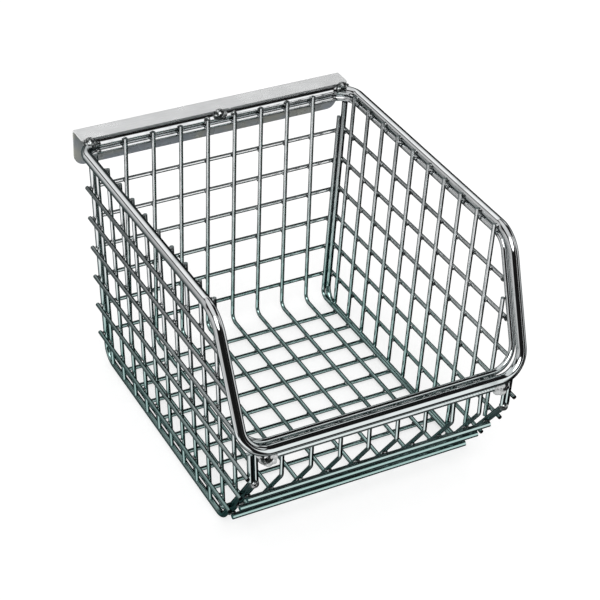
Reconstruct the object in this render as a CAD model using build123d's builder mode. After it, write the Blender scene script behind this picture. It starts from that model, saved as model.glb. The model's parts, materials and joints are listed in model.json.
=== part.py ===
from build123d import *
import os
from math import atan2, cos, hypot, sin, sqrt, tan

# Wire and rod sizes, in millimetres
mesh_wire = 3.0
frame_rod = 4.4
liner_rod = 4.4
rim_size = 7.5
rail_rod = 5.0
slope_rod = 4.4

# The mesh: pitch of the lengthwise wires, of the wires along the depth, and of the levels up the walls
long_pitch = 21.5
cross_pitch = 21.5
level_pitch = 25.7

# The bin, measured to the faces where the two layers of wire touch
basket_depth = 253.5
slope_run = 45.5
bottom_half_width = 96.5
top_half_width = 104.5
ground_clearance = 0.6
slope_height = 67.5
rail_height = 97.0
rim_height = 186.0
leg_lean = 32.5

# Places of the first wire of each row, and how far the free ends stop below the rim
first_level_drop = 33.4
first_floor_wire = 23.6
first_slope_wire = 8.5
first_upright = 14.2
free_upright_drop = 44.0
free_edge_drop = 20.0

# Bends, measured to the middle of the wire
mesh_bend = 6.0
frame_bend = 12.0
slope_bend = 8.0
rim_corner = 16.0
dip_bend = 22.0
front_corner = 19.0

# Ends of wires past the wire that they are welded to
wire_overhang = 1.6
top_overhang = 1.8
end_clearance = 0.15
butt_clearance = 0.05
stacking_overhang = 8.5

# The hanger: a plate folded once, with its lip hanging behind the back
plate_thickness = 1.6
hanger_half_width = 106.5
hanger_reach = 21.0
lip_height = 30.0
fold_radius = 3.2
lip_corner = 8.0
flange_corner = 3.0
plate_cover = 1.2

# Radii and places of the weld beads
hanger_bead = 4.4
corner_bead = 5.6
knee_bead = 3.2
rail_bead = 2.2
hanger_bead_inset = 5.5

# Everything stands on the runners of the two side frames, and the outline is centred on the origin
back_face = (basket_depth + rim_size - hanger_reach) / 2
front_face = back_face - basket_depth
floor_depth = basket_depth - slope_run
floor_front = back_face - floor_depth
floor_height = mesh_wire + ground_clearance
dip_start = basket_depth - leg_lean
flare = (top_half_width - bottom_half_width) / (rim_height - floor_height)
flare_stretch = hypot(1, flare)
runner_height = frame_rod / 2

# Height of the liner rod below the rim rod, where both lie against the same face of the mesh
liner_drop = sqrt((rim_size + liner_rod) ** 2 - (rim_size - liner_rod) ** 2) / 2
liner_height = rim_height - liner_drop


def side_x(height, inward):
    """Distance from the middle plane to a rod's axis, inward of the side face at a height."""
    return bottom_half_width + flare * (height - floor_height) - inward * flare_stretch


def sweep_rod(points, bends, size, closed=False):
    """A round rod of one size along straight runs, with a tangent arc at each corner."""
    with BuildPart() as rod:
        with BuildLine() as path:
            FilletPolyline(*points, radius=bends, close=closed)
        with BuildSketch(Plane(origin=path.line @ 0, z_dir=path.line % 0)):
            Circle(size / 2)
        sweep()
    return rod.part


def straight_rod(start, end, size):
    """A round rod of one size between two points."""
    axis = Vector(*end) - Vector(*start)
    with BuildPart() as rod:
        with BuildSketch(Plane(origin=start, z_dir=axis)):
            Circle(size / 2)
        extrude(amount=axis.length)
    return rod.part


def save(piece, name):
    """Label a piece and write its file."""
    piece.label = name
    export_step(piece, f"parts/{name}.step")


os.makedirs("parts", exist_ok=True)

# Direction of the leaning leg where the rim drops to the front rail, seen from the side
leg_run = basket_depth + rim_size / 2 - dip_start
leg_drop = rim_height - rail_height
leg_angle = atan2(leg_drop, leg_run)

# Along the front the wire ends stand between the rim and the liner, so the liner's leg stands back as well
rim_front = front_face - rim_size / 2
liner_front = front_face + mesh_wire + liner_rod / 2
liner_inset = (liner_front - rim_front) * sin(leg_angle)


def leg_y(height, inward):
    """Place of the leg's axis at a height, with the axis moved square to the leg by a distance."""
    down = (rim_height - height) / tan(leg_angle)
    return back_face - dip_start - down + inward / sin(leg_angle)


def rim_path(inset, top, rod_size, front):
    """Corners of a rod that follows the rim outside the side faces, behind the leg by an inset."""
    top_x = side_x(top, -rod_size / 2)
    front_x = side_x(rail_height, -rod_size / 2)
    back = back_face + rod_size / 2
    dip = leg_y(top, inset)
    return [
        (top_x, back, top),
        (top_x, dip, top),
        (front_x, front, rail_height),
        (-front_x, front, rail_height),
        (-top_x, dip, top),
        (-top_x, back, top),
    ]


rim_bends = [rim_corner, dip_bend, front_corner, front_corner, dip_bend, rim_corner]
rim_rod = sweep_rod(rim_path(0, rim_height, rim_size, rim_front), rim_bends, rim_size, closed=True)
save(rim_rod, "rim_rod")

liner_corner = rim_corner - (rim_size - liner_rod) / 2
liner_dip = dip_bend - liner_inset
liner_bends = [liner_corner, liner_dip, front_corner, front_corner, liner_dip, liner_corner]
liner_path = rim_path(liner_inset, liner_height, liner_rod, liner_front)
liner = sweep_rod(liner_path, liner_bends, liner_rod, closed=True)
save(liner, "liner_rod")
under_rim = rail_height - rim_size / 2


def side_point(side, along, height, inward):
    """A point on a rod that lies a distance inward of one side face."""
    return (side * side_x(height, inward), along, height)


# The side frames: down the back corner, forward as the runner, up the sloped front to the rim
frame_back = back_face - frame_rod / 2
frame_front = front_face + frame_rod / 2
slope_angle = atan2(slope_height - floor_height, slope_run)
frame_top_back = liner_height - liner_rod / 2 - butt_clearance
frame_bends = [frame_bend, frame_bend, slope_bend]


def slope_y(height, inward):
    """Place on the sloped front at a height, moved square to the slope into the bin."""
    return floor_front - (height - floor_height) / tan(slope_angle) + inward / sin(slope_angle)


def vertical_meets_slope(inward):
    """Height where the upright front and the sloped front meet, both moved into the bin."""
    run = floor_front + inward / sin(slope_angle) - (front_face + inward)
    return floor_height + run * tan(slope_angle)


def save_side_frame(side, name):
    """The open perimeter rod of one side, with its bottom run as the foot."""
    inward = frame_rod / 2
    knee_height = vertical_meets_slope(inward)
    heights = [frame_top_back, runner_height, runner_height, knee_height, under_rim]
    places = [frame_back, frame_back, slope_y(runner_height, inward), frame_front, frame_front]
    points = [side_point(side, y, z, inward) for y, z in zip(places, heights)]
    frame = sweep_rod(points, frame_bends, frame_rod)
    save(frame, name)
    return frame


right_frame = save_side_frame(1, "right_side_frame")
left_frame = save_side_frame(-1, "left_side_frame")

# Counts of the wires that fit each run at their pitch
edge_inward = frame_rod + mesh_wire / 2
long_wire_room = bottom_half_width - edge_inward - long_pitch / 2
long_wire_count = int(2 * long_wire_room // long_pitch) + 1
back_wire_count = int((rim_height - first_level_drop - floor_height) // level_pitch) + 1
floor_wire_count = int((floor_depth - first_floor_wire) // cross_pitch) + 1
slope_length = hypot(slope_run, slope_height - floor_height)
slope_wire_count = int((slope_length - 2 * first_slope_wire) // cross_pitch) + 1
upright_run = dip_start + free_upright_drop / tan(leg_angle) - (liner_front - rim_front)
upright_count = int((upright_run - first_upright) // cross_pitch) + 1

# The lengthwise wires: each one runs down the back, under the floor, up the slope and the front
wire_back = back_face - mesh_wire / 2
wire_floor = floor_height + mesh_wire / 2
wire_front = front_face + mesh_wire / 2
wire_knee = vertical_meets_slope(mesh_wire / 2)
wire_top_back = rim_height + top_overhang
mesh_bends = [mesh_bend, mesh_bend, mesh_bend]


def long_wire_run(x_at):
    """Corners of a lengthwise wire whose distance from the middle depends on the height."""
    heights = [wire_top_back, wire_floor, wire_floor, wire_knee, rail_height]
    places = [wire_back, wire_back, slope_y(wire_floor, mesh_wire / 2), wire_front, wire_front]
    return [(x_at(z), y, z) for y, z in zip(places, heights)]


long_wires = []
for index in range(long_wire_count):
    offset = (index - (long_wire_count - 1) / 2) * long_pitch
    long_wire = sweep_rod(long_wire_run(lambda z: offset), mesh_bends, mesh_wire)
    save(long_wire, f"long_wire_{index + 1}")
    long_wires.append(long_wire)

# The two outermost lengthwise wires lean with the sides and lie against the side frames

def save_edge_wire(side, name):
    """The lengthwise wire beside one side frame, with a free end on the back."""
    points = long_wire_run(lambda z: side * side_x(z, edge_inward))
    points[0] = side_point(side, wire_back, rim_height - free_edge_drop, edge_inward)
    points[-1] = side_point(side, wire_front, under_rim, edge_inward)
    edge_wire = sweep_rod(points, mesh_bends, mesh_wire)
    save(edge_wire, name)
    return edge_wire


right_edge = save_edge_wire(1, "right_edge_wire")
left_edge = save_edge_wire(-1, "left_edge_wire")

# The cross wires lie outside the lengthwise wires on the back, the floor and the slope
cross_reach = mesh_wire / 2 - end_clearance


def save_cross_wire(y, z, size, name):
    """A straight wire from edge wire to edge wire."""
    reach = side_x(z, edge_inward) + cross_reach
    cross_wire = straight_rod((-reach, y, z), (reach, y, z), size)
    save(cross_wire, name)


level_heights = [rim_height - first_level_drop - index * level_pitch for index in range(back_wire_count)]
for index, height in enumerate(level_heights):
    save_cross_wire(back_face + mesh_wire / 2, height, mesh_wire, f"back_cross_wire_{index + 1}")
for index in range(floor_wire_count):
    place = back_face - first_floor_wire - index * cross_pitch
    save_cross_wire(place, floor_height - mesh_wire / 2, mesh_wire, f"floor_cross_wire_{index + 1}")
for index in range(slope_wire_count):
    along = first_slope_wire + index * cross_pitch
    slope_place = floor_front - along * cos(slope_angle) - slope_rod / 2 * sin(slope_angle)
    slope_wire_height = floor_height + along * sin(slope_angle) - slope_rod / 2 * cos(slope_angle)
    save_cross_wire(slope_place, slope_wire_height, slope_rod, f"slope_cross_wire_{index + 1}")

# The uprights of each side lie inside the side face, and butt on the side frame below
upright_inward = mesh_wire / 2
frame_corner_y = slope_y(runner_height, frame_rod / 2)
frame_arc_run = frame_bend * tan(slope_angle / 2)
frame_arc_rise = frame_bend * (1 / cos(slope_angle / 2) - 1)


def frame_top(y):
    """Height of the top of the side frame's lower run under an upright."""
    if y > frame_corner_y + frame_arc_run:
        return runner_height + frame_rod / 2
    sloping = runner_height + max(frame_corner_y - y, 0) * tan(slope_angle)
    lean = (frame_rod / 2) / cos(slope_angle) + mesh_wire / 2 * tan(slope_angle)
    rise = frame_arc_rise if y > frame_corner_y - frame_arc_run else 0
    return sloping + lean + rise


def save_uprights(side, name):
    """One side's uprights, the last with a free top end behind the leg of the rim."""
    with BuildPart() as uprights:
        for number in range(upright_count):
            y = back_face - first_upright - number * cross_pitch
            low = frame_top(y) + butt_clearance
            last = number == upright_count - 1
            high = rim_height - free_upright_drop if last else rim_height + top_overhang
            start = side_point(side, y, low, upright_inward)
            end = side_point(side, y, high, upright_inward)
            add(straight_rod(start, end, mesh_wire))
    save(uprights.part, name)
    return uprights.part


right_uprights = save_uprights(1, "right_side_uprights")
left_uprights = save_uprights(-1, "left_side_uprights")

# The side rails lie outside the uprights, lap over the side frame and butt on the liner's leg
leg_clearance = liner_rod / 2 / sin(leg_angle) + mesh_wire / 2 / tan(leg_angle) + butt_clearance


def rail_front(z):
    """Place of the front end of a side rail at a height."""
    if z > rail_height:
        return leg_y(z, liner_inset) + leg_clearance
    if z > wire_knee:
        return front_face - wire_overhang
    return slope_y(z, 0) - wire_overhang / sin(slope_angle)



def save_rails(side, name):
    """One side's rails, level rods from behind the back corner to the front."""
    with BuildPart() as rails:
        for z in level_heights:
            start = side_point(side, back_face + wire_overhang, z, -mesh_wire / 2)
            end = side_point(side, rail_front(z), z, -mesh_wire / 2)
            add(straight_rod(start, end, mesh_wire))
    save(rails.part, name)
    return rails.part


right_rails = save_rails(1, "right_side_rails")
left_rails = save_rails(-1, "left_side_rails")

# The stacking rail lies under the rim's front run, against the outside of the lengthwise wires
rail_reach = (rim_size + rail_rod) / 2
rail_offset = (rim_size - rail_rod) / 2
stacking_height = rail_height - sqrt(rail_reach**2 - rail_offset**2)
stacking_y = front_face - rail_rod / 2
stacking_half = (long_wire_count - 1) / 2 * long_pitch + stacking_overhang
stacking_ends = [(-stacking_half, stacking_y, stacking_height), (stacking_half, stacking_y, stacking_height)]
stacking_rail = straight_rod(*stacking_ends, rail_rod)
save(stacking_rail, "stacking_rail")

# The hanger plate lies on top of the rim, past its middle line, and folds down into the lip
flange_top = rim_height + rim_size / 2 + butt_clearance + plate_thickness
flange_front = back_face + rim_size / 2 - plate_cover
lip_back = back_face + hanger_reach
lip_bottom = flange_top - lip_height
with BuildPart() as hanger_plate:
    with BuildSketch(Plane.YZ):
        with BuildLine():
            Polyline(
                (flange_front, flange_top),
                (lip_back, flange_top),
                (lip_back, lip_bottom),
                (lip_back - plate_thickness, lip_bottom),
                (lip_back - plate_thickness, flange_top - plate_thickness),
                (flange_front, flange_top - plate_thickness),
                close=True,
            )
        make_face()
    extrude(amount=hanger_half_width, both=True)
    folds = hanger_plate.edges().filter_by(Axis.X)
    outer_fold = folds.sort_by(Axis.Y)[-2:].sort_by(Axis.Z)[-1]
    fillet(outer_fold, fold_radius)
    inner_fold = [
        edge
        for edge in hanger_plate.edges().filter_by(Axis.X)
        if abs(edge.center().Y - lip_back + plate_thickness) < butt_clearance
        and abs(edge.center().Z - flange_top + plate_thickness) < butt_clearance
    ]
    fillet(inner_fold, fold_radius - plate_thickness)
    fillet(hanger_plate.edges().filter_by(Axis.Y).group_by(Axis.Z)[0], lip_corner)
    fillet(hanger_plate.edges().filter_by(Axis.Z).group_by(Axis.Y)[0], flange_corner)
save(hanger_plate.part, "hanger_plate")


def weld_bead(centre, radius, rods):
    """A round bead that fills the corner between rods, cut to their surfaces."""
    with BuildPart() as bead:
        with Locations(centre):
            Sphere(radius)
        for rod in rods:
            add(rod, mode=Mode.SUBTRACT)
    return bead.part.solids().sort_by(SortBy.VOLUME)[-1]


def save_beads(beads, name):
    """A group of separate beads in one file."""
    with BuildPart() as group:
        for bead in beads:
            add(bead)
    save(group.part, name)


# The hanger's beads join the plate's front edge to the rim, and leave the space under the plate free
with BuildPart() as under_plate:
    with Locations((0, flange_front, flange_top)):
        under_size = (2 * hanger_half_width, hanger_reach, lip_height)
        Box(*under_size, align=(Align.CENTER, Align.MIN, Align.MAX))
bead_half = hanger_half_width - hanger_bead_inset
hanger_beads = []
for x in (-bead_half, 0, bead_half):
    centre = (x, flange_front - hanger_bead / 4, rim_height + hanger_bead / 2)
    hanger_beads.append(weld_bead(centre, hanger_bead, [rim_rod, under_plate.part]))
save_beads(hanger_beads, "hanger_welds")

# A bead at each front corner joins the stacking rail's end to the rim and the edge wire
corner_beads = []
knee_beads = []
rail_beads = []
for side, frame, edge_wire, rails, uprights in (
    (1, right_frame, right_edge, right_rails, right_uprights),
    (-1, left_frame, left_edge, left_rails, left_uprights),
):
    corner_x = (stacking_half + side_x(stacking_height, edge_inward)) / 2
    corner = (side * corner_x, wire_front - mesh_wire, stacking_height)
    corner_rods = [rim_rod, liner, frame, edge_wire, stacking_rail]
    corner_beads.append(weld_bead(corner, corner_bead, corner_rods))
    knee = side_point(side, wire_front, wire_knee, frame_rod)
    knee_beads.append(weld_bead(knee, knee_bead, [frame, edge_wire, corner_beads[-1]]))
    for z in level_heights:
        if z > rail_height + front_corner:
            rail_end = side_point(side, rail_front(z), z, -mesh_wire / 2)
            rail_beads.append(weld_bead(rail_end, rail_bead, [rim_rod, liner, rails, uprights]))
save_beads(corner_beads, "front_corner_welds")
save_beads(knee_beads, "knee_welds")
save_beads(rail_beads, "side_rail_welds")
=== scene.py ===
import json
import random
from math import atan2, cos, hypot, pi, radians, sin, tan

import bmesh
import bpy
from mathutils import Euler, Matrix, Vector, noise


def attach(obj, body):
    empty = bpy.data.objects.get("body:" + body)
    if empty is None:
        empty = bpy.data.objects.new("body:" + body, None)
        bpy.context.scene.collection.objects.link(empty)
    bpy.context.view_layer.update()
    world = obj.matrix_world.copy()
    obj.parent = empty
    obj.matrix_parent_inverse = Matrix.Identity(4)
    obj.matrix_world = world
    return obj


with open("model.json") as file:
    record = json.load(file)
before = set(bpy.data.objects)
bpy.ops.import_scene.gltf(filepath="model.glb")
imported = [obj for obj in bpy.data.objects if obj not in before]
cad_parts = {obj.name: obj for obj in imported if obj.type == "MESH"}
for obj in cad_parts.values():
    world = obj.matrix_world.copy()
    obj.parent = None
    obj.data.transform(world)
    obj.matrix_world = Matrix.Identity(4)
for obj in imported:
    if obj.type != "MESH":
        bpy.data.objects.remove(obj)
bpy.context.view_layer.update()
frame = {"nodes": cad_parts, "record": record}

MM = 0.001

# The photograph's camera, in metres and degrees
CAMERA_PLACE = (-0.5103, -0.9462, 0.8450)
CAMERA_HEADING = 28.6
CAMERA_TILT = 34.68
CAMERA_ROLL = 2.1
CAMERA_LENS = 111.3
SENSOR_WIDTH = 36

# Light levels, and how dark the room is that the bright metal shows between its light panels
WORLD_LEVEL = 0.75
SUN_LEVEL = 1.1
SUN_SPREAD = 40
SUN_TURN = (40, -25)
FLOOR_PAINT = 0.45
FLOOR_GLOW = 0.64
STUDIO_DARK = 0.01
FLOOR_HALF_SIZE = 40

# The studio's light panels as the metal shows them: a level, then limits on the direction's X, Y and Z.
# Each limit is given as the two ends of its soft edge, the dark end first.
FAR_LEVEL = 0.75
FRONT_HEIGHTS = ((-0.46, -0.38), (0.66, 0.58))
FRONT_SIDES = ((-0.20, -0.30), (-0.62, -0.54))
PANELS = (
    # For the photograph's view: behind the camera, over the back, three at the left, and the table below
    (1.00, {"X": ((0.25, 0.32), (0.54, 0.46)), "Y": ((-0.44, -0.54),), "Z": FRONT_HEIGHTS}),
    (1.00, {"X": ((-0.38, -0.30), (0.78, 0.68)), "Y": ((0.61, 0.68),), "Z": ((0.40, 0.46),)}),
    (0.52, {"X": ((-0.44, -0.54),), "Y": ((0.40, 0.55),)}),
    (0.60, {"X": ((-0.84, -0.92),), "Z": ((-0.50, -0.42),)}),
    (1.00, {"X": ((-0.14, -0.24),), "Z": ((-0.42, -0.50), (-0.80, -0.70))}),
    (0.50, {"Z": ((-0.78, -0.86),)}),
    # For the other views: right, back, overhead, back right, front right and front left
    (FAR_LEVEL, {"X": ((0.84, 0.92),), "Z": ((-0.56, -0.48),)}),
    (FAR_LEVEL, {"Y": ((0.76, 0.84),), "Z": ((-0.62, -0.54), (0.36, 0.26))}),
    (FAR_LEVEL, {"X": ((0.32, 0.22),), "Z": ((0.72, 0.80),)}),
    (FAR_LEVEL, {"X": ((0.56, 0.64),), "Y": ((0.30, 0.42),), "Z": ((0.22, 0.32),)}),
    (FAR_LEVEL, {"X": ((0.56, 0.62), (0.80, 0.72)), "Y": FRONT_SIDES, "Z": ((-0.50, -0.42),)}),
    (FAR_LEVEL, {"X": ((-0.56, -0.62), (-0.80, -0.72)), "Y": FRONT_SIDES, "Z": ((-0.50, -0.42),)}),
)

# Plating: its colours, the height under which a darker green painted shade comes in, and where a painted
# dark reflection darkens its edges
CHROME_COLOUR = (0.87, 0.885, 0.895, 1)
CHROME_SHADE = (0.62, 0.64, 0.65, 1)
LOW_SHADE_GREEN = (0.34, 0.54, 0.51, 1)
EDGE_TINT = (0.30, 0.34, 0.34, 1)
DARK_REFLECTION_COLOUR = (0.03, 0.05, 0.05, 1)
DARK_REFLECTION_SHARE = 0.85
WIRE_DARK_REFLECTION_FACING = (0.22, 0.44)
ROD_DARK_REFLECTION_FACING = (0.34, 0.62)
LOW_SHADE_HEIGHT = 0.120
LOW_SHADE_FADE = 0.090
LOW_SHADE_SHARE = 0.85
PATCH_SCALE = 55.0
PATCH_EDGES = (0.52, 0.72)
PATCH_SHARE = 0.6
PATCH_ROUGHNESS = 0.08
MARK_SCALE = 900.0
MARK_DEPTH = 0.0002
STRIPE_PITCH = 0.0022
STRIPE_LEAN = (1.0, 0.0, 0.7)
STRIPE_SHARE = 0.35

# Satin plate: its top, and the lip under the heights given, which carries a painted shade
PLATE_COLOUR = (0.92, 0.93, 0.935, 1)
PLATE_SHADE = (0.82, 0.83, 0.835, 1)
KHAKI_LIP_SHADE = (0.56, 0.56, 0.50, 1)
BLUE_LIP_SHADE = (0.45, 0.49, 0.54, 1)
LIP_HEIGHTS = (0.1890, 0.1875)
LIP_DULL = 0.6
PLATE_ROUGHNESS = 0.24
GRAIN_STRETCH = (0.06, 1.0, 1.0)
GRAIN_SCALE = 1400.0
GRAIN_SHARE = 0.6
GRAIN_STRENGTH = 0.12
GRAIN_DEPTH = 0.0001
CLOUD_SCALE = 40.0
CLOUD_EDGES = (0.35, 0.65)
CLOUD_ROUGHNESS = 0.08
BLOTCH_SCALE = 28.0
BLOTCH_EDGES = (0.42, 0.60)

# Weld metal; its dark colour is painted shade where the weld's surface dips
WELD_HOLLOW_SHADE = (0.07, 0.08, 0.08, 1)
WELD_BRIGHT = (0.80, 0.82, 0.82, 1)
WELD_SCALE = 420.0
WELD_ROUGHNESS = 0.34
WELD_SHINE = 0.25
WELD_BUMP = 0.7
WELD_DEPTH = 0.0008

# The basket's mesh, in millimetres
LONG_PITCH = 21.5
CROSS_PITCH = 21.5
LEVEL_PITCH = 25.7
LEVEL_COUNT = 6
FIRST_LEVEL = 152.6
LONG_WIRES = 8
FLOOR_WIRES = 9
SLOPE_WIRES = 3
UPRIGHTS = 11
BACK_FACE = 120.0
FRONT_FACE = -133.5
FLOOR_FRONT = -88.0
FLOOR_HEIGHT = 3.6
SLOPE_HEIGHT = 67.5
FIRST_FLOOR_WIRE = 23.6
FIRST_SLOPE_WIRE = 8.5
FIRST_UPRIGHT = 14.2
HALF_BOTTOM = 96.5
HALF_TOP = 104.5
RIM_HEIGHT = 186.0
RAIL_HEIGHT = 97.0
MESH_WIRE = 3.0
FRAME_ROD = 4.4
STACKING_DROP = 6.1
SHORT_UPRIGHT_DROP = 44.0

# Weld nuggets, in millimetres: half-width over the crossing and half-height square to it.
# Their sizes vary between the two shares given.
NUGGET_REACH = 2.3
NUGGET_RISE = 1.1
NUGGET_SEGMENTS = 8
NUGGET_RINGS = 5
CROSSING_SIZES = (0.86, 1.12)
TOP_SIZES = (0.80, 1.20)
SLOPE_NUGGET = 1.2
CORNER_NUGGET = 1.15

# Uneven weld metal, in millimetres: each lump's place and radius. The hanger's are placed from its weld.
HANGER_WELD = 101.0
HANGER_WELD_Y = 121.4
HANGER_WELD_Z = 188.2
HANGER_LUMPS = ((0, 0, 0.4, 3.6), (3.2, -0.4, 0.2, 2.5), (-2.8, -0.8, -0.2, 2.7), (0.8, -2.4, -1.0, 2.6))
TOP_LUMP = (BACK_FACE - 0.6, RIM_HEIGHT + 1.6)
TOP_LUMP_RADIUS = 2.1
TOP_LUMP_WIRES = (3, 4)
CORNER_LUMPS = (
    (87.0, -136.9, 92.4, 3.4),
    (90.6, -136.1, 90.2, 3.6),
    (84.2, -137.1, 91.4, 3.0),
    (88.0, -136.9, 87.2, 3.3),
    (84.6, -137.0, 87.6, 2.8),
    (93.0, -134.9, 93.4, 2.8),
)
LUMP_SHARE = 0.22
LUMP_WAVES = 1.7
LUMP_SHIFT = 9


class Value:
    """A shader socket that takes part in Python sums."""

    def __init__(self, graph, socket):
        self.graph = graph
        self.socket = socket

    def math(self, operation, first, second):
        return self.graph.add("ShaderNodeMath", {0: first, 1: second}, operation=operation)

    def __add__(self, other):
        return self.math("ADD", self, other)

    def __radd__(self, other):
        return self.math("ADD", other, self)

    def __sub__(self, other):
        return self.math("SUBTRACT", self, other)

    def __rsub__(self, other):
        return self.math("SUBTRACT", other, self)

    def __mul__(self, other):
        return self.math("MULTIPLY", self, other)

    def __rmul__(self, other):
        return self.math("MULTIPLY", other, self)

    def __truediv__(self, other):
        return self.math("DIVIDE", self, other)

    def clamp(self):
        return self.graph.add("ShaderNodeClamp", {0: self})

    def rise(self, low, high):
        """A smooth step from 0 to 1 between two values, or back where the first is the larger."""
        inputs = {0: self, 1: low, 2: high}
        return self.graph.add("ShaderNodeMapRange", inputs, interpolation_type="SMOOTHSTEP")


class Graph:
    """The nodes of a material or world, made one at a time."""

    def __init__(self, owner):
        owner.use_nodes = True
        self.tree = owner.node_tree
        self.tree.nodes.clear()

    def add(self, kind, inputs=None, output=0, **settings):
        """Makes a node, sets or connects its inputs and gives back one output."""
        node = self.tree.nodes.new(kind)
        for name, value in settings.items():
            setattr(node, name, value)
        for key, value in (inputs or {}).items():
            if isinstance(value, Value):
                self.tree.links.new(value.socket, node.inputs[key])
            else:
                node.inputs[key].default_value = value
        if node.outputs:
            return Value(self, node.outputs[output])

    def mix(self, factor, first, second):
        """A colour between two colours."""
        inputs = {0: factor, 6: first, 7: second}
        return self.add("ShaderNodeMix", inputs, output=2, data_type="RGBA")

    def noise(self, vector, scale, detail=2.0, roughness=0.5):
        inputs = {"Vector": vector, "Scale": scale, "Detail": detail, "Roughness": roughness}
        return self.add("ShaderNodeTexNoise", inputs)

    def bump(self, height, strength, distance):
        inputs = {"Height": height, "Strength": strength, "Distance": distance}
        return self.add("ShaderNodeBump", inputs)

    def place(self):
        """The place on the piece, in metres."""
        return self.add("ShaderNodeTexCoord", output="Object")

    def axis(self, vector, name):
        return self.add("ShaderNodeSeparateXYZ", {0: vector}, output=name)

    def along(self, vector, direction):
        """How far a place or direction reaches along another direction."""
        inputs = {0: vector, 1: direction}
        return self.add("ShaderNodeVectorMath", inputs, output="Value", operation="DOT_PRODUCT")

    def ray(self, name):
        return self.add("ShaderNodeLightPath", output=name)

    def seen(self):
        """1 for rays from the camera and rays that metal or glass sends on."""
        sent_on = self.ray("Is Glossy Ray") + self.ray("Is Transmission Ray")
        return (self.ray("Is Camera Ray") + sent_on).clamp()

    def finish(self, shader, kind="ShaderNodeOutputMaterial"):
        self.add(kind, {"Surface": shader})


def new_graph(name):
    material = bpy.data.materials.new(name)
    return material, Graph(material)


def chrome_material(name, roughness, ripple, edge, striped=False):
    """Bright plating with faint drawing marks, duller in patches, with a darker green painted shade low down
    and a painted dark reflection at its edges.
    """
    material, graph = new_graph(name)
    place = graph.place()
    height = graph.axis(place, "Z")
    # Painted shade: towards the bottom the plating turns a darker green
    low = (LOW_SHADE_HEIGHT - height) / LOW_SHADE_FADE
    patches = graph.noise(place, PATCH_SCALE, detail=4.0)
    dull = patches.rise(*PATCH_EDGES)
    colour = graph.mix(dull * PATCH_SHARE, CHROME_COLOUR, CHROME_SHADE)
    colour = graph.mix(low.clamp() * LOW_SHADE_SHARE, colour, LOW_SHADE_GREEN)
    # Painted dark reflection: the base colour turns dark towards the edges of each wire and rod as the
    # surface turns away
    dark_reflection = graph.add("ShaderNodeLayerWeight", {"Blend": 0.5}, output="Facing").rise(*edge)
    colour = graph.mix(dark_reflection * DARK_REFLECTION_SHARE, colour, DARK_REFLECTION_COLOUR)
    surface = graph.noise(place, MARK_SCALE, detail=2.0) + patches
    if striped:
        stripes = graph.along(place, STRIPE_LEAN) * (2 * pi / STRIPE_PITCH)
        surface = surface + graph.add("ShaderNodeMath", {0: stripes}, operation="SINE") * STRIPE_SHARE
    inputs = {
        "Base Color": colour,
        "Metallic": 1.0,
        "Specular Tint": EDGE_TINT,
        "Roughness": dull * PATCH_ROUGHNESS + roughness,
        "Normal": graph.bump(surface, ripple, MARK_DEPTH),
    }
    graph.finish(graph.add("ShaderNodeBsdfPrincipled", inputs))
    return material


def plate_material():
    """Satin sheet with a fine grain along its length; the lip is darker, a painted shade blotched yellow and
    blue.
    """
    material, graph = new_graph("satin plate")
    place = graph.place()
    stretched = graph.add("ShaderNodeMapping", {"Vector": place, "Scale": GRAIN_STRETCH})
    grain = graph.noise(stretched, GRAIN_SCALE, detail=3.0)
    patches = graph.noise(place, CLOUD_SCALE, detail=5.0)
    clouds = grain * GRAIN_SHARE + patches * (1 - GRAIN_SHARE)
    colour = graph.mix(clouds.rise(*CLOUD_EDGES), PLATE_COLOUR, PLATE_SHADE)
    # Painted shade on the lip: darker, blotched khaki and blue
    lip_blotches = graph.noise(place, BLOTCH_SCALE, detail=3.0).rise(*BLOTCH_EDGES)
    lip_shade_colour = graph.mix(lip_blotches, KHAKI_LIP_SHADE, BLUE_LIP_SHADE)
    lip = graph.axis(place, "Z").rise(*LIP_HEIGHTS)
    colour = graph.mix(lip, colour, lip_shade_colour)
    inputs = {
        "Base Color": colour,
        "Metallic": 1 - lip * LIP_DULL,
        "Roughness": patches.rise(0.3, 0.7) * CLOUD_ROUGHNESS + PLATE_ROUGHNESS,
        "Normal": graph.bump(grain, GRAIN_STRENGTH, GRAIN_DEPTH),
    }
    graph.finish(graph.add("ShaderNodeBsdfPrincipled", inputs))
    return material


def weld_material(name, hollow_shade, metallic):
    """Lumpy plated weld metal, with painted shade where its surface dips."""
    material, graph = new_graph(name)
    place = graph.place()
    lumps = graph.noise(place, WELD_SCALE, detail=3.0, roughness=0.6)
    # Painted shade: dark where the weld's surface dips
    colour = graph.mix(lumps.rise(*hollow_shade), WELD_HOLLOW_SHADE, WELD_BRIGHT)
    inputs = {
        "Base Color": colour,
        "Metallic": metallic,
        "Roughness": WELD_ROUGHNESS - lumps * WELD_SHINE,
        "Normal": graph.bump(lumps, WELD_BUMP, WELD_DEPTH),
    }
    graph.finish(graph.add("ShaderNodeBsdfPrincipled", inputs))
    return material


SLOT_MATERIALS = {
    "wire_chrome": chrome_material("bright wire plating", roughness=0.03, ripple=0.035, edge=WIRE_DARK_REFLECTION_FACING),
    "rim_chrome": chrome_material("bright rod plating", roughness=0.035, ripple=0.015, edge=ROD_DARK_REFLECTION_FACING),
    "satin_plate": plate_material(),
    "weld_metal": weld_material("weld metal", hollow_shade=(0.46, 0.66), metallic=1.0),
}
# A lighter, less metallic copy of the weld metal with painted light, for the front corner lumps that sit in
# shadow
painted_light_weld = weld_material("weld metal with painted light", hollow_shade=(0.26, 0.40), metallic=0.3)
striped_rod = chrome_material("rolled rod plating", roughness=0.06, ripple=0.10, edge=ROD_DARK_REFLECTION_FACING, striped=True)


def slot_of(node):
    """The material slot that the record gives a node."""
    for part in frame["record"]["subparts"]:
        if part["node"] == node:
            return part["material_slot"]
    return "wire_chrome"


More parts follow.
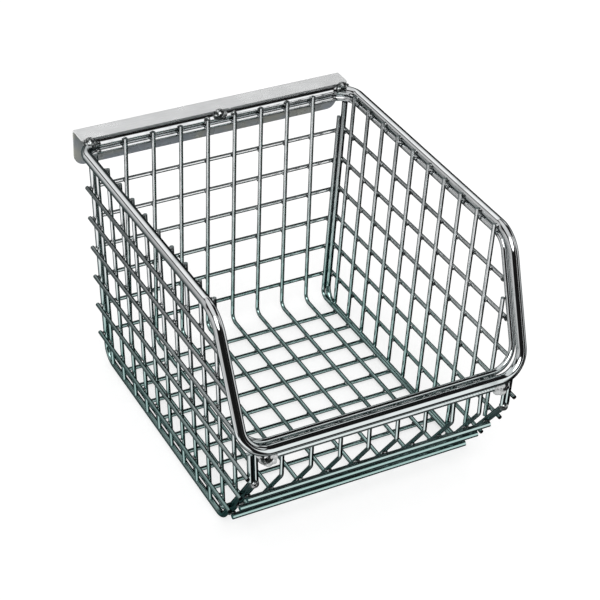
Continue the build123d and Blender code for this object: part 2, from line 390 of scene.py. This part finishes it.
for name, node in frame["nodes"].items():
    node.data.materials.clear()
    node.data.materials.append(striped_rod if name == "stacking_rail" else SLOT_MATERIALS[slot_of(name)])


def add_piece(name, builder, material):
    """Puts a finished mesh in the scene as a piece of the basket."""
    mesh = bpy.data.meshes.new(name)
    bmesh.ops.recalc_face_normals(builder, faces=builder.faces)
    for face in builder.faces:
        face.smooth = True
    builder.to_mesh(mesh)
    builder.free()
    mesh.materials.append(material)
    piece = bpy.data.objects.new(name, mesh)
    bpy.context.scene.collection.objects.link(piece)
    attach(piece, "root")


def add_nuggets(name, places):
    """Flat blobs of weld metal, each given by its place, the direction it is flat across and its size."""
    builder = bmesh.new()
    for place, normal, size in places:
        turn = Vector(normal).to_track_quat("Z", "Y").to_matrix().to_4x4()
        flat = Matrix.Diagonal((NUGGET_REACH, NUGGET_REACH, NUGGET_RISE, 1)) * size
        flat[3][3] = 1
        matrix = Matrix.Scale(MM, 4) @ Matrix.Translation(place) @ turn @ flat
        bmesh.ops.create_uvsphere(
            builder, u_segments=NUGGET_SEGMENTS, v_segments=NUGGET_RINGS, radius=1, matrix=matrix
        )
    add_piece(name, builder, SLOT_MATERIALS["weld_metal"])


flare = (HALF_TOP - HALF_BOTTOM) / (RIM_HEIGHT - FLOOR_HEIGHT)
slope_run = FLOOR_FRONT - FRONT_FACE
slope_angle = atan2(SLOPE_HEIGHT - FLOOR_HEIGHT, slope_run)
levels = [FIRST_LEVEL - index * LEVEL_PITCH for index in range(LEVEL_COUNT)]
long_places = [(index - (LONG_WIRES - 1) / 2) * LONG_PITCH for index in range(LONG_WIRES)]


def face_x(height, inward=0.0):
    """Half-width of the basket at a height, measured to the face where its two layers of wire touch."""
    return HALF_BOTTOM + flare * (height - FLOOR_HEIGHT) - inward * hypot(1, flare)


def wires_across(height):
    """Places across the basket of all the lengthwise wires, the edge wires too."""
    edge = face_x(height, FRAME_ROD + MESH_WIRE / 2)
    return [-edge, *long_places, edge]


def weld_crossings():
    """A nugget where two wires cross, on every wall of the basket."""
    chance = random.Random(4)

    def size():
        return chance.uniform(*CROSSING_SIZES)

    back = [((x, BACK_FACE, z), (0, 1, 0), size()) for z in levels for x in wires_across(z)]
    floor = []
    for index in range(FLOOR_WIRES):
        y = BACK_FACE - FIRST_FLOOR_WIRE - index * CROSS_PITCH
        floor += [((x, y, FLOOR_HEIGHT), (0, 0, 1), size()) for x in wires_across(FLOOR_HEIGHT)]
    slope_normal = (0, sin(slope_angle), cos(slope_angle))
    slope = []
    for index in range(SLOPE_WIRES):
        run = FIRST_SLOPE_WIRE + index * CROSS_PITCH
        y = FLOOR_FRONT - run * cos(slope_angle)
        z = FLOOR_HEIGHT + run * sin(slope_angle)
        slope += [((x, y, z), slope_normal, size() * SLOPE_NUGGET) for x in wires_across(z)]
    add_nuggets("back_crossing_welds", back)
    add_nuggets("floor_crossing_welds", floor)
    add_nuggets("slope_crossing_welds", slope)
    for side, word in ((1, "right"), (-1, "left")):
        walls = []
        for number in range(UPRIGHTS):
            y = BACK_FACE - FIRST_UPRIGHT - number * CROSS_PITCH
            foot = FLOOR_HEIGHT + max(FLOOR_FRONT - y, 0) * tan(slope_angle) + FRAME_ROD
            for z in levels:
                if z > foot and (number < UPRIGHTS - 1 or z < RIM_HEIGHT - SHORT_UPRIGHT_DROP):
                    walls.append(((side * face_x(z), y, z), (side, 0, 0), size()))
        for z in levels:
            place = (side * face_x(z), BACK_FACE - FRAME_ROD / 2, z)
            walls.append((place, (side, 0, 0), size() * CORNER_NUGGET))
        add_nuggets(f"{word}_crossing_welds", walls)


def weld_tops():
    """Nuggets where the wires' upper ends are welded to the rim."""
    chance = random.Random(9)

    def size():
        return chance.uniform(*TOP_SIZES)

    tops = [((x, BACK_FACE, RIM_HEIGHT), (0, 1, 0), size()) for x in long_places]
    fronts = [((x, FRONT_FACE, RAIL_HEIGHT - STACKING_DROP), (0, 1, 0), size()) for x in long_places]
    sides = []
    for number in range(UPRIGHTS - 1):
        y = BACK_FACE - FIRST_UPRIGHT - number * CROSS_PITCH
        for side in (1, -1):
            sides.append(((side * face_x(RIM_HEIGHT), y, RIM_HEIGHT), (side, 0, 0), size()))
    add_nuggets("back_top_welds", tops)
    add_nuggets("front_top_welds", fronts)
    add_nuggets("side_top_welds", sides)


def add_lumps(name, lumps, material, seed):
    """Uneven weld metal: small rough balls that run into each other."""
    chance = random.Random(seed)
    builder = bmesh.new()
    for place, radius in lumps:
        made = bmesh.ops.create_icosphere(builder, subdivisions=3, radius=radius)["verts"]
        shift = Vector([chance.uniform(-LUMP_SHIFT, LUMP_SHIFT) for axis in "XYZ"])
        for vert in made:
            vert.co *= 1 + LUMP_SHARE * noise.noise(vert.co / radius * LUMP_WAVES + shift)
        bmesh.ops.translate(builder, verts=made, vec=place)
        bmesh.ops.scale(builder, verts=made, vec=(MM, MM, MM))
    add_piece(name, builder, material)


def weld_lumps():
    """The heavy welds of the hanger and of the two front corners."""
    hanger = []
    for x in (-HANGER_WELD, 0, HANGER_WELD):
        for dx, dy, dz, radius in HANGER_LUMPS:
            hanger.append(((x + dx, HANGER_WELD_Y + dy, HANGER_WELD_Z + dz), radius))
    hanger += [((long_places[index], *TOP_LUMP), TOP_LUMP_RADIUS) for index in TOP_LUMP_WIRES]
    corners = []
    for side in (1, -1):
        corners += [((side * x, y, z), radius) for x, y, z, radius in CORNER_LUMPS]
    add_lumps("hanger_weld_lumps", hanger, SLOT_MATERIALS["weld_metal"], 3)
    # The corner lumps take the weld metal with painted light
    add_lumps("corner_weld_lumps", corners, painted_light_weld, 5)


weld_crossings()
weld_tops()
weld_lumps()


def stage_floor():
    """A wide white floor that keeps the basket's shadow."""
    mesh = bpy.data.meshes.new("studio floor")
    builder = bmesh.new()
    bmesh.ops.create_grid(builder, x_segments=1, y_segments=1, size=FLOOR_HALF_SIZE)
    builder.to_mesh(mesh)
    builder.free()
    floor = bpy.data.objects.new("studio floor", mesh)
    bpy.context.scene.collection.objects.link(floor)
    material, graph = new_graph("white floor")
    inputs = {
        "Base Color": (FLOOR_PAINT, FLOOR_PAINT, FLOOR_PAINT, 1),
        "Roughness": 1.0,
        "Specular IOR Level": 0.0,
        "Emission Color": (1, 1, 1, 1),
        "Emission Strength": graph.seen() * FLOOR_GLOW,
    }
    graph.finish(graph.add("ShaderNodeBsdfPrincipled", inputs))
    mesh.materials.append(material)
    floor.visible_glossy = False


def studio_world():
    """White all round; the metal shows a dark room with light panels instead."""
    world = bpy.data.worlds.new("studio")
    bpy.context.scene.world = world
    graph = Graph(world)
    direction = graph.add("ShaderNodeTexCoord", output="Generated")
    sides = {name: graph.axis(direction, name) for name in "XYZ"}
    light = 0
    for level, limits in PANELS:
        share = level
        for name, edges in limits.items():
            for low, high in edges:
                share = sides[name].rise(low, high) * share
        light = share + light
    dark = (1 - light.clamp()) * (1 - STUDIO_DARK)
    level = graph.seen() * (1 - WORLD_LEVEL) + WORLD_LEVEL - graph.ray("Is Glossy Ray") * dark
    shader = graph.add("ShaderNodeBackground", {"Color": (1, 1, 1, 1), "Strength": level})
    graph.finish(shader, "ShaderNodeOutputWorld")


def studio_sun():
    light = bpy.data.lights.new("soft key", "SUN")
    light.energy = SUN_LEVEL
    light.angle = radians(SUN_SPREAD)
    sun = bpy.data.objects.new("soft key", light)
    sun.rotation_euler = Euler((radians(SUN_TURN[0]), radians(SUN_TURN[1]), 0))
    bpy.context.scene.collection.objects.link(sun)


def photo_camera():
    data = bpy.data.cameras.new("photo camera")
    data.lens = CAMERA_LENS
    data.sensor_width = SENSOR_WIDTH
    camera = bpy.data.objects.new("photo camera", data)
    turn = Euler((radians(90 - CAMERA_TILT), 0, radians(-CAMERA_HEADING))).to_matrix().to_4x4()
    roll = Matrix.Rotation(radians(CAMERA_ROLL), 4, "Z")
    camera.matrix_world = Matrix.Translation(CAMERA_PLACE) @ turn @ roll
    bpy.context.scene.collection.objects.link(camera)
    bpy.context.scene.camera = camera


stage_floor()
studio_world()
studio_sun()
photo_camera()
bpy.context.scene.view_settings.view_transform = "Standard"
